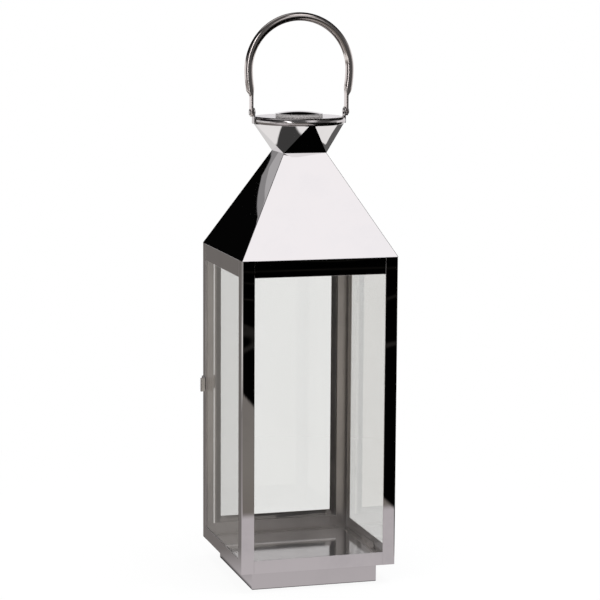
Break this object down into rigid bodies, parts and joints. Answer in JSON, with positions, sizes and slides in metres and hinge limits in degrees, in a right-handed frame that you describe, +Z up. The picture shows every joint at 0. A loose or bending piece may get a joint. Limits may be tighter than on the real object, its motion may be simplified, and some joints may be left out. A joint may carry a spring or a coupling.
{
  "type": "candle lantern",
  "caption": "Tall square candle lantern in polished sheet steel with clear panes, a hinged rear door, pyramid roof, faceted neck, round vented top and a swinging bow handle.",
  "frame": {"origin": "on the floor, under the middle of the square plinth", "axes": "+Z up, the fixed front pane faces -Y, the door is at +Y and is hinged on the +X side, the handle turns about X"},
  "size_m": [0.1866, 0.1843, 0.6435],
  "materials": {
    "mirror_steel": "mirror-polished stainless sheet and tube",
    "clear_glass": "clear float glass"
  },
  "bodies": {
    "lantern": {"plinth": "mirror_steel", "floor_plate": "mirror_steel", "post_front_left": "mirror_steel", "post_front_right": "mirror_steel", "post_back_right": "mirror_steel", "post_back_left": "mirror_steel", "bottom_rail_front": "mirror_steel", "top_rail_front": "mirror_steel", "roof_front": "mirror_steel", "bottom_rail_right": "mirror_steel", "top_rail_right": "mirror_steel", "roof_right": "mirror_steel", "bottom_rail_back": "mirror_steel", "top_rail_back": "mirror_steel", "roof_back": "mirror_steel", "bottom_rail_left": "mirror_steel", "top_rail_left": "mirror_steel", "roof_left": "mirror_steel", "glass_front": "clear_glass", "glass_clips_front": "mirror_steel", "glass_right": "clear_glass", "glass_clips_right": "mirror_steel", "glass_left": "clear_glass", "glass_clips_left": "mirror_steel", "chimney_flare": "mirror_steel", "top_disc": "mirror_steel", "vent_cap": "mirror_steel", "vent_spacers": "mirror_steel", "handle_ear_right": "mirror_steel", "handle_ear_left": "mirror_steel", "handle_pivot_right": "mirror_steel", "handle_pivot_left": "mirror_steel", "hinge_leaves_post": "mirror_steel", "hinge_pins": "mirror_steel"},
    "door": {"door_stile_hinge": "mirror_steel", "door_stile_catch": "mirror_steel", "door_rail_bottom": "mirror_steel", "door_rail_top": "mirror_steel", "door_glass": "clear_glass", "door_glass_clips": "mirror_steel", "hinge_leaves_door": "mirror_steel", "door_catch": "mirror_steel"},
    "handle": {"handle": "mirror_steel"}
  },
  "joints": [
    {"name": "door_hinge", "type": "hinge", "parent": "lantern", "child": "door", "pos_m": [0.0749, 0.0923, 0.197], "axis": [0, 0, -1], "range_deg": [0, 150]},
    {"name": "handle_swing", "type": "hinge", "parent": "lantern", "child": "handle", "pos_m": [0, 0, 0.532], "axis": [1, 0, 0], "range_deg": [-145, 145]}
  ]
}
